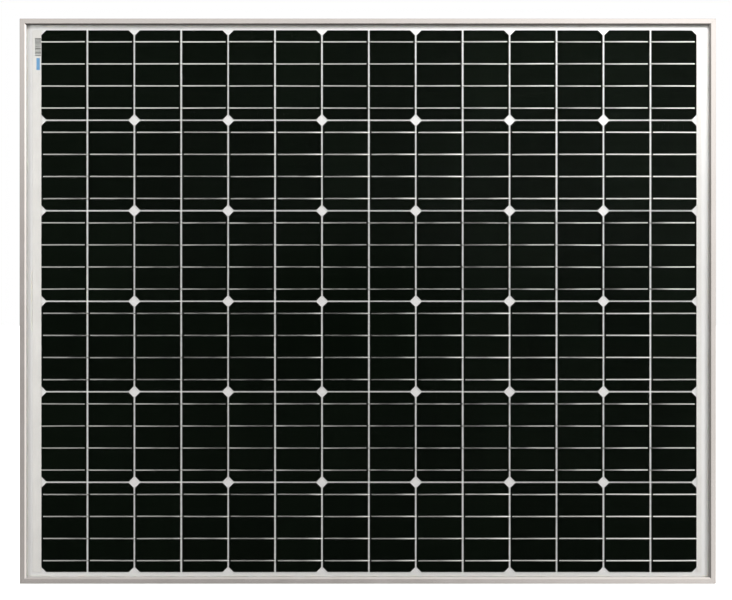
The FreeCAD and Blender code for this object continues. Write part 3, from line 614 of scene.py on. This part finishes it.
def add_half_cell(form, tone_layer, index, low, high):
    """One half cell, with its two clipped corners away from the cut."""
    left = half_cell_left(index)
    right = left + half_width
    quad = bmesh.ops.create_grid(form, x_segments=1, y_segments=1, size=0.5)["verts"]
    bmesh.ops.rotate(form, verts=quad, cent=(0, 0, 0), matrix=Matrix.Rotation(math.pi / 2, 3, "X"))
    bmesh.ops.scale(form, verts=quad, vec=(half_width, 1.0, high.z - low.z))
    middle = Vector(((left + right) / 2, low.y, (low.z + high.z) / 2))
    bmesh.ops.translate(form, verts=quad, vec=middle)
    outer_way = -1 if index % 2 == 0 else 1
    outer = [vert for vert in quad if (vert.co.x - middle.x) * outer_way > 0]
    inner = next(vert for vert in quad if vert not in outer)
    bmesh.ops.bevel(
        form, geom=outer, offset=CLIPPED_CORNER, segments=1, profile=0.5, affect="VERTICES", material=-1
    )
    face = inner.link_faces[0]
    drift = Vector((random.uniform(-0.12, 0.12), 0.0, random.uniform(-0.15, 0.15))) * MM
    bmesh.ops.translate(form, verts=face.verts[:], vec=drift)
    tone = random.uniform(0.0, 0.25)
    raised = bmesh.ops.extrude_face_region(form, geom=[face])["geom"]
    rear = [item for item in raised if isinstance(item, bmesh.types.BMVert)]
    bmesh.ops.translate(form, verts=rear, vec=(0.0, high.y - low.y, 0.0))
    for vert in set(rear) | set(face.verts):
        vert[tone_layer] = tone


for row, (low, high) in enumerate(row_boxes):
    cells = bmesh.new()
    tone_layer = cells.verts.layers.float.new("depth_of_black")
    for index in range(HALVES):
        add_half_cell(cells, tone_layer, index, low, high)
    bmesh.ops.recalc_face_normals(cells, faces=cells.faces)
    name = "cell_string_%d" % (row + 1)
    finish_piece(cells, "wafers_row_%d" % (row + 1), WAFER, stands_for=(name,))
print("each half cell is", round(half_width / MM, 2), "mm wide")
print("a pair of them repeats every", round(pair_pitch / MM, 2), "mm")

# %% [markdown]
# ## Ribbons
# Each ribbon lies on the front of one half cell, steps back through the gap and is soldered to the rear of
# the next, so neighbouring cells are joined plus to minus. Rows run in turn to the right and to the left,
# which is why the ribbons stop short of the right edge in one row and of the left edge in the next. A path of
# five points is drawn out to the ribbon's width and then to its thickness. Real ribbons aren't laid perfectly
# straight: each wanders by a fraction of a millimetre.

# %% Ribbons
RIBBONS = 4
RIBBON_PITCH = 38.8 * MM
RIBBON_WIDTH = 2.0 * MM
SETBACK = 3.0 * MM
BEND = 0.4 * MM
WANDER = 0.28 * MM
random.seed(23)


def row_spans(row):
    """The half cells' spans in the order that the current takes, each as (near edge, far edge)."""
    spans = [(half_cell_left(i), half_cell_left(i) + half_width) for i in range(HALVES)]
    return spans if row % 2 == 0 else [(far, near) for near, far in reversed(spans)]


def ribbon_paths(row, thickness, front_y):
    """The (x, y) paths of a row's ribbons: a front tail, the links from rear to front, and a rear tail."""
    way = 1 if row % 2 == 0 else -1
    rear_y = front_y + 2 * thickness
    spans = row_spans(row)
    low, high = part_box("string_ribbons_%d" % (row + 1))
    start, end = (low.x, high.x) if way > 0 else (high.x, low.x)
    first_far = spans[0][1] - way * SETBACK
    paths = [[(start, front_y), ((start + first_far) / 2, front_y), (first_far, front_y)]]
    for (near, edge), (next_edge, far) in zip(spans, spans[1:]):
        front_end = far - way * SETBACK
        arrive = next_edge - way * BEND
        paths.append(
            [
                (near + way * SETBACK, rear_y),
                (edge + way * BEND, rear_y),
                (arrive, front_y),
                ((arrive + front_end) / 2, front_y),
                (front_end, front_y),
            ]
        )
    paths.append([(spans[-1][0] + way * SETBACK, rear_y), (end, rear_y)])
    return paths


def add_ribbon(form, tone_layer, path, height, thickness, cell_tone):
    """One ribbon: its path drawn out to its width, then to its thickness."""
    tilt = random.uniform(-WANDER, WANDER)
    bow = random.uniform(-WANDER, WANDER) / 2
    lift = random.uniform(-WANDER, WANDER) / 2
    tone = cell_tone + random.uniform(-0.06, 0.06)
    ends = path[0][0], path[-1][0]
    verts = []
    for x, y in path:
        along = (x - ends[0]) / (ends[1] - ends[0]) * 2 - 1
        z = height - RIBBON_WIDTH / 2 + lift + tilt * along + bow * (1 - along * along)
        verts.append(form.verts.new((x, y, z)))
    edges = [form.edges.new(pair) for pair in zip(verts, verts[1:])]
    drawn = bmesh.ops.extrude_edge_only(form, edges=edges)["geom"]
    upper = [item for item in drawn if isinstance(item, bmesh.types.BMVert)]
    faces = [item for item in drawn if isinstance(item, bmesh.types.BMFace)]
    bmesh.ops.translate(form, verts=upper, vec=(0.0, 0.0, RIBBON_WIDTH))
    thick = bmesh.ops.extrude_face_region(form, geom=faces)["geom"]
    rear = [item for item in thick if isinstance(item, bmesh.types.BMVert)]
    bmesh.ops.translate(form, verts=rear, vec=(0.0, thickness, 0.0))
    for vert in verts + upper + rear:
        vert[tone_layer] = tone


ribbon_count = 0
for row, (low, high) in enumerate(row_boxes):
    ribbons = bmesh.new()
    tone_layer = ribbons.verts.layers.float.new("solder_tone")
    thickness = high.y - low.y
    middle_z = (low.z + high.z) / 2
    for path in ribbon_paths(row, thickness, low.y - thickness):
        cell_tone = random.choice((0.45, 0.6, 0.7, 0.8, 0.9))
        for i in range(RIBBONS):
            height = middle_z + ((RIBBONS - 1) / 2 - i) * RIBBON_PITCH
            add_ribbon(ribbons, tone_layer, path, height, thickness, cell_tone)
            ribbon_count += 1
    bmesh.ops.recalc_face_normals(ribbons, faces=ribbons.faces)
    name = "string_ribbons_%d" % (row + 1)
    finish_piece(ribbons, "ribbons_row_%d" % (row + 1), RIBBON, stands_for=(name,))
print(ribbon_count, "ribbons of", round(RIBBON_WIDTH / MM, 1), "mm")

# %% [markdown]
# ## Labels in the left margin
# A serial label lies under the glass near the top, as a small ladder of bars, with a plain blue mark below
# it. The bars carry no number: they are seeded at random widths. The rear carries a film label with empty
# ruled fields, because this panel has no maker.

# %% Labels
PAPER, paper_tree, paper_shader = start_material("coated_label_paper", {"Roughness": 0.5, "IOR": 1.5})
tint(paper_tree, paper_shader, grain(paper_tree, 6.0), "#E4E4E1", "#EEEEEC")
INK, ink_tree, ink_shader = start_material("printed_black_ink", {"Roughness": 0.45, "IOR": 1.5})
tint(ink_tree, ink_shader, grain(ink_tree, 3.0), "#191A1B", "#242526")
BLUE, blue_tree, blue_shader = start_material("printed_blue_film", {"Roughness": 0.42, "IOR": 1.5})
tint(blue_tree, blue_shader, grain(blue_tree, 4.0), "#5E92BE", "#6C9DC6")
FILM, film_tree, film_shader = start_material("silver_label_film", {"Roughness": 0.4, "IOR": 1.5})
tint(film_tree, film_shader, grain(film_tree, 25.0), "#D4D6D8", "#DFE1E2")
emboss(film_tree, film_shader, grain(film_tree, 1.2), 0.01)
clothe("barcode_label", PAPER)
clothe("mark_label", BLUE)
clothe("rating_label", FILM)

BAR_MARGIN = 0.4 * MM
INK_THICKNESS = 0.03 * MM
random.seed(5)
label_low, label_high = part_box("barcode_label")
bars = bmesh.new()
bar_z = label_low.z + BAR_MARGIN
while bar_z < label_high.z - 1.5 * BAR_MARGIN:
    bar = random.choice((0.5, 0.9, 1.3, 1.7)) * MM
    add_block(
        bars,
        (label_low.x + BAR_MARGIN, label_low.y - INK_THICKNESS, bar_z),
        (label_high.x - BAR_MARGIN, label_low.y, bar_z + bar),
    )
    bar_z += bar + random.choice((0.5, 0.8)) * MM
finish_piece(bars, "serial_bars", INK)

RULE = 0.6 * MM
FIELD_ROWS = 7
COLUMN_SHARES = (0.0, 0.42, 1.0)
rating_low, rating_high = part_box("rating_label")
inset = 5.0 * MM
rules = bmesh.new()
rating_span = rating_high.z - rating_low.z - 2 * inset
for i in range(FIELD_ROWS + 1):
    z = rating_low.z + inset + rating_span * i / FIELD_ROWS
    add_block(
        rules,
        (rating_low.x + inset, rating_high.y, z - RULE / 2),
        (rating_high.x - inset, rating_high.y + INK_THICKNESS, z + RULE / 2),
    )
for share in COLUMN_SHARES:
    x = rating_low.x + inset + (rating_high.x - rating_low.x - 2 * inset) * share
    add_block(
        rules,
        (x - RULE / 2, rating_high.y, rating_low.z + inset),
        (x + RULE / 2, rating_high.y + 0.8 * INK_THICKNESS, rating_high.z - inset),
    )
finish_piece(rules, "rating_label_rules", INK)
print("labels printed")

# %% [markdown]
# ## Black mouldings
# The junction box, its lid and the glands are moulded in a black glass-filled plastic. A sparked mould gives
# a fine, even grain and a dull sheen that catches only the broad light. Rubber is blacker and flatter still.

# %% Plastics and rubber
BLACK, black_tree, black_shader = start_material("moulded_black_plastic", {"Roughness": 0.48, "IOR": 1.52})
tint(black_tree, black_shader, grain(black_tree, 12.0), "#191A1B", "#222324")
vary(black_tree, black_shader, "Roughness", grain(black_tree, 8.0), 0.42, 0.54)
emboss(black_tree, black_shader, grain(black_tree, 0.7, detail=1.0), 0.03)

RUBBER, rubber_tree, rubber_shader = start_material("black_rubber", {"Roughness": 0.75, "IOR": 1.5})
tint(rubber_tree, rubber_shader, grain(rubber_tree, 5.0), "#141414", "#1C1C1C")
GASKET, gasket_tree, gasket_shader = start_material("grey_gasket_rubber", {"Roughness": 0.7, "IOR": 1.45})
tint(gasket_tree, gasket_shader, grain(gasket_tree, 5.0), "#5B5C5D", "#68696A")
NYLON, nylon_tree, nylon_shader = start_material("grey_nylon", {"Roughness": 0.5, "IOR": 1.53})
tint(nylon_tree, nylon_shader, grain(nylon_tree, 3.0), "#77797B", "#85878A")
EPOXY, epoxy_tree, epoxy_shader = start_material("moulded_black_epoxy", {"Roughness": 0.3, "IOR": 1.55})
tint(epoxy_tree, epoxy_shader, grain(epoxy_tree, 2.0), "#17181A", "#202124")
STEEL, steel_tree, steel_shader = start_material(
    "drawn_stainless_steel", {"Metallic": 1.0, "Roughness": 0.28}
)
tint(steel_tree, steel_shader, grain(steel_tree, 1.0, (20.0, 1.0, 1.0)), "#B3B1AD", "#CDCBC7")
BRASS, brass_tree, brass_shader = start_material("tinned_brass", {"Metallic": 1.0, "Roughness": 0.35})
tint(brass_tree, brass_shader, grain(brass_tree, 7.0), "#C6BEA3", "#CEC7AE")
emboss(brass_tree, brass_shader, grain(brass_tree, 1.5, (5.0, 1.0, 1.0)), 0.02)

clothe("lid_hinge_pin", STEEL)
clothe("edge_seals", SILICONE)
for side in ("left", "right"):
    clothe("gland_seal_" + side, RUBBER)
    clothe("gland_claw_" + side, NYLON)
print("rear materials:", len((BLACK, RUBBER, GASKET, NYLON, EPOXY, STEEL, BRASS)))

# %% [markdown]
# ## Silicone beads
# Sealant is laid as a soft bead and pressed out when the parts meet, so its edge is never even. A closed line
# of points is given a round section whose radius swells and shrinks from point to point. One bead runs around
# the foot of the junction box. Another lines the inner corner between the rear sheet and the four rails.


# %% Silicone beads
def bead_form(loops, radius, unevenness):
    """Round beads along closed loops of points, with a radius that wanders along the way."""
    curve = bpy.data.curves.new("bead_path", "CURVE")
    curve.dimensions = "3D"
    curve.bevel_depth = radius
    curve.bevel_resolution = 2
    for loop in loops:
        spline = curve.splines.new("POLY")
        spline.points.add(len(loop) - 1)
        spline.use_cyclic_u = True
        for point, place in zip(spline.points, loop):
            point.co = (*place, 1.0)
            point.radius = 1.0 + unevenness * noise.noise(Vector(place) / (9.0 * MM))
    path = bpy.data.objects.new("bead_path", curve)
    bpy.context.scene.collection.objects.link(path)
    mesh = bpy.data.meshes.new_from_object(path.evaluated_get(bpy.context.evaluated_depsgraph_get()))
    form = bmesh.new()
    form.from_mesh(mesh)
    bpy.data.objects.remove(path)
    bpy.data.curves.remove(curve)
    bpy.data.meshes.remove(mesh)
    bmesh.ops.recalc_face_normals(form, faces=form.faces)
    return form


def rounded_loop(low, high, y, corner, step):
    """Points around an upright rectangle with rounded corners, about one step apart."""
    middle = ((low[0] + high[0]) / 2, (low[1] + high[1]) / 2)
    half = ((high[0] - low[0]) / 2, (high[1] - low[1]) / 2)
    points = []
    for quarter in range(4):
        turn = math.radians(90 * quarter)
        along, out = (half[1], half[0]) if quarter % 2 == 0 else (half[0], half[1])
        count = max(2, round(2 * (along - corner) / step))
        side = [(out, -(along - corner) + 2 * (along - corner) * i / count) for i in range(count)]
        arc = [
            (
                out - corner + corner * math.cos(math.radians(a)),
                along - corner + corner * math.sin(math.radians(a)),
            )
            for a in (0, 22.5, 45, 67.5)
        ]
        for u, v in side + arc:
            x = middle[0] + u * math.cos(turn) - v * math.sin(turn)
            z = middle[1] + u * math.sin(turn) + v * math.cos(turn)
            points.append((x, y, z))
    return points


base_low, base_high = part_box("junction_box_base")
adhesive_low, adhesive_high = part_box("box_adhesive")
sheet_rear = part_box("backsheet")[1].y
FOOT_BEAD = 1.3 * MM
foot = rounded_loop(
    (adhesive_low.x + FOOT_BEAD, adhesive_low.z + FOOT_BEAD),
    (adhesive_high.x - FOOT_BEAD, adhesive_high.z - FOOT_BEAD),
    y=sheet_rear + 0.4 * MM,
    corner=6.5 * MM,
    step=2.0 * MM,
)
foot_bead = bead_form([foot], FOOT_BEAD, unevenness=0.45)
add_block(
    foot_bead,
    (adhesive_low.x + 2 * FOOT_BEAD, sheet_rear, adhesive_low.z + 2 * FOOT_BEAD),
    (adhesive_high.x - 2 * FOOT_BEAD, adhesive_high.y, adhesive_high.z - 2 * FOOT_BEAD),
)
finish_piece(
    foot_bead,
    "box_foot_bead",
    SILICONE,
    stands_for=("box_adhesive",),
    sharp_degrees=60,
)

CHAMBER_EDGE = Vector((598.4, 0.0, 483.4)) * MM
FRAME_BEAD = 1.0 * MM
frame_loop = rounded_loop(
    (-CHAMBER_EDGE.x, -CHAMBER_EDGE.z),
    (CHAMBER_EDGE.x, CHAMBER_EDGE.z),
    y=sheet_rear + 0.35 * MM,
    corner=2.0 * MM,
    step=5.0 * MM,
)
finish_piece(
    bead_form([frame_loop], FRAME_BEAD, unevenness=0.5),
    "frame_squeeze_out",
    SILICONE,
    sharp_degrees=60,
)
print("beads have", len(foot), "and", len(frame_loop), "stations")

# %% [markdown]
# ## Junction box
# The box is one injection moulding. Its copy gets the small roundings that a mould leaves on every outer
# edge. The lid gets raised ribs, which keep so thin a plate flat, and a round pad where the molten plastic
# entered the mould.

# %% Junction box
MOULD_RADIUS = 0.3 * MM
RIB_COUNT = 5
RIB_WIDTH = 2.2 * MM
RIB_REACH = 39.0 * MM
LID_FACE = -5.8 * MM
RIB_HEIGHT = 0.6 * MM
GATE_RADIUS = 3.0 * MM
GATE_DEPTH = 0.6 * MM
GATE_HEIGHT = -46.0 * MM

lid_low, lid_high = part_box("junction_box_lid")
box_middle = (base_low.x + base_high.x) / 2
rib_pitch = (base_high.x - base_low.x) / (RIB_COUNT + 1)
finish_piece(
    softened_copy("junction_box_base", MOULD_RADIUS),
    "box_tray",
    BLACK,
    stands_for=("junction_box_base",),
)
lid_form = softened_copy("junction_box_lid", MOULD_RADIUS)
for i in range(RIB_COUNT):
    x = box_middle + (i - (RIB_COUNT - 1) / 2) * rib_pitch
    low = (x - RIB_WIDTH / 2, LID_FACE - 0.4 * MM, -RIB_REACH)
    high = (x + RIB_WIDTH / 2, LID_FACE + RIB_HEIGHT, RIB_REACH)
    add_block(lid_form, low, high, rounding=0.3 * MM)
gate_place = Matrix.Translation((box_middle, LID_FACE, GATE_HEIGHT)) @ Matrix.Rotation(math.pi / 2, 4, "X")
bmesh.ops.create_cone(
    lid_form,
    cap_ends=True,
    segments=24,
    radius1=GATE_RADIUS,
    radius2=GATE_RADIUS,
    depth=GATE_DEPTH,
    matrix=gate_place,
)
finish_piece(lid_form, "box_lid", BLACK, body="lid", stands_for=("junction_box_lid",))
finish_piece(
    softened_copy("lid_gasket", 0.2 * MM),
    "lid_seal",
    GASKET,
    body="lid",
    stands_for=("lid_gasket",),
)
print("lid is", round((lid_high - lid_low).x / MM, 1), "mm wide")
print("its ribs stand", round(rib_pitch / MM, 2), "mm apart")

# %% [markdown]
# ## Inside the box
# Four leads come up through the floor and are soldered to tinned brass plates. A bypass diode bridges each
# pair of plates, with a pale band at its cathode. A dome of solder covers the place where lead meets plate.

# %% Inside the box
SOLDER_RADIUS = Vector((3.4, 0.9, 3.0)) * MM
BAND_LENGTH = 1.4 * MM
BAND_OFFSET_MM = 2.6
# each joint: its height and its shift towards +X, in millimetres
SOLDER_JOINTS_MM = ((36.0, 0.0), (12.0, 7.0), (-12.0, 7.0), (-36.0, 0.0))
DIODE_HEIGHTS_MM = (24.0, 0.0, -24.0)

finish_piece(
    softened_copy("terminal_plates", 0.15 * MM),
    "terminals",
    BRASS,
    stands_for=("terminal_plates",),
)
plate_low, plate_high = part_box("terminal_plates")
solder = bmesh.new()
for height, shift in SOLDER_JOINTS_MM:
    place = Vector((plate_low.x + (1.8 + shift) * MM, plate_high.y - 0.1 * MM, height * MM))
    form_matrix = Matrix.Translation(place) @ Matrix.Diagonal(SOLDER_RADIUS).to_4x4()
    bmesh.ops.create_uvsphere(solder, u_segments=20, v_segments=12, radius=1.0, matrix=form_matrix)
finish_piece(solder, "solder_domes", TINNED)

diode_low, diode_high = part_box("bypass_diodes")
diode_radius = (diode_high.x - diode_low.x) / 2
diode_axis = ((diode_low.x + diode_high.x) / 2, (diode_low.y + diode_high.y) / 2)
finish_piece(
    softened_copy("bypass_diodes", 0.5 * MM), "diodes", EPOXY, stands_for=("bypass_diodes",)
)
bands = bmesh.new()
for height in DIODE_HEIGHTS_MM:
    place = Matrix.Translation((*diode_axis, (height + BAND_OFFSET_MM) * MM))
    bmesh.ops.create_cone(
        bands,
        cap_ends=True,
        segments=32,
        radius1=diode_radius + 0.03 * MM,
        radius2=diode_radius + 0.03 * MM,
        depth=BAND_LENGTH,
        matrix=place,
    )
finish_piece(bands, "cathode_bands", FILM)
print(len(SOLDER_JOINTS_MM), "solder joints and", len(DIODE_HEIGHTS_MM), "diodes")

# %% [markdown]
# ## Cable glands
# A gland is a threaded tube with a hexagon collar, moulded in nylon, and a domed nut that squeezes a rubber
# sleeve around the cable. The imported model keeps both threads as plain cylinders. Here the tube is turned
# from its half section at the thread's root, and a tooth is wound around it at the real pitch of 1.5 mm.

# %% Cable glands
ROOT_RADIUS = 5.35 * MM
CREST_RADIUS = 5.86 * MM
PITCH = 1.5 * MM
STEPS_PER_TURN = 32
COLLAR_RADIUS = 14.0 / 2 / math.cos(math.radians(30)) * MM
COLLAR_DEPTH = 4.0 * MM
BOX_WALL = -55.0 * MM
THREAD_TURNS = 7
THREAD_START = 5.2 * MM
# radius, and depth below the box's lower wall, in millimetres
TUBE_SECTION_MM = [
    (3.6, -2.2),
    (5.9, -2.2),
    (5.9, 0.1),
    (5.35, 0.1),
    (5.35, 16.0),
    (4.6, 16.0),
    (4.6, 7.0),
    (3.6, 7.0),
]
# radius in metres, and height as a share of the pitch
TOOTH = [(ROOT_RADIUS, 0.42), (CREST_RADIUS, 0.1), (CREST_RADIUS, -0.1), (ROOT_RADIUS, -0.42)]


def gland_tube(centre):
    """The tube, its thread and its hexagon collar; heights are measured down from the box's lower wall."""
    form = bmesh.new()
    corners = [form.verts.new(centre + Vector((r, 0.0, -down)) * MM) for r, down in TUBE_SECTION_MM]
    edges = [form.edges.new(pair) for pair in zip(corners, corners[1:] + corners[:1])]
    bmesh.ops.spin(
        form,
        geom=corners + edges,
        cent=centre,
        axis=(0, 0, 1),
        angle=math.tau,
        steps=48,
        use_merge=True,
    )
    start = centre - Vector((0.0, 0.0, THREAD_START))
    flank = [form.verts.new(start + Vector((r, 0.0, z * PITCH))) for r, z in TOOTH]
    flank_edges = [form.edges.new(pair) for pair in zip(flank, flank[1:])]
    bmesh.ops.spin(
        form,
        geom=flank + flank_edges,
        cent=centre,
        axis=(0, 0, 1),
        dvec=(0, 0, -PITCH / STEPS_PER_TURN),
        angle=math.tau * THREAD_TURNS,
        steps=STEPS_PER_TURN * THREAD_TURNS,
    )
    collar_middle = centre - Vector((0, 0, COLLAR_DEPTH / 2))
    collar = bmesh.ops.create_cone(
        form,
        cap_ends=True,
        segments=6,
        radius1=COLLAR_RADIUS,
        radius2=COLLAR_RADIUS,
        depth=COLLAR_DEPTH,
        matrix=Matrix.Translation(collar_middle) @ Matrix.Rotation(math.radians(90), 4, "Z"),
    )["verts"]
    rim = {edge for vert in collar for edge in vert.link_edges}
    bmesh.ops.bevel(
        form, geom=list(rim), offset=0.35 * MM, segments=2, profile=0.5, affect="EDGES", material=-1
    )
    bmesh.ops.recalc_face_normals(form, faces=form.faces)
    return form


for side in ("left", "right"):
    body_low, body_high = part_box("gland_body_" + side)
    centre = Vector(((body_low.x + body_high.x) / 2, (body_low.y + body_high.y) / 2, BOX_WALL))
    finish_piece(
        gland_tube(centre), "gland_tube_" + side, BLACK, stands_for=("gland_body_" + side,)
    )
    finish_piece(
        softened_copy("gland_nut_" + side, 0.3 * MM),
        "gland_cap_" + side,
        BLACK,
        body="nut_" + side,
        stands_for=("gland_nut_" + side,),
    )
print("each gland tube has", THREAD_TURNS, "turns of thread, one every", round(PITCH / MM, 1), "mm")

# %% [markdown]
# ## Sizes, and the end
# Ribs, beads and bars mustn't make the panel bigger than the imported model. So the box around everything is
# measured again, and how far each corner moved from the box measured at the start is printed.

# %% Print how far the corners moved, and finish
size_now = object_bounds()
for label, before, after in zip(("low", "high"), CAD_BOX, size_now):
    print(label, "corner moves by", [round((b - a) / MM, 3) for a, b in zip(before, after)], "mm")
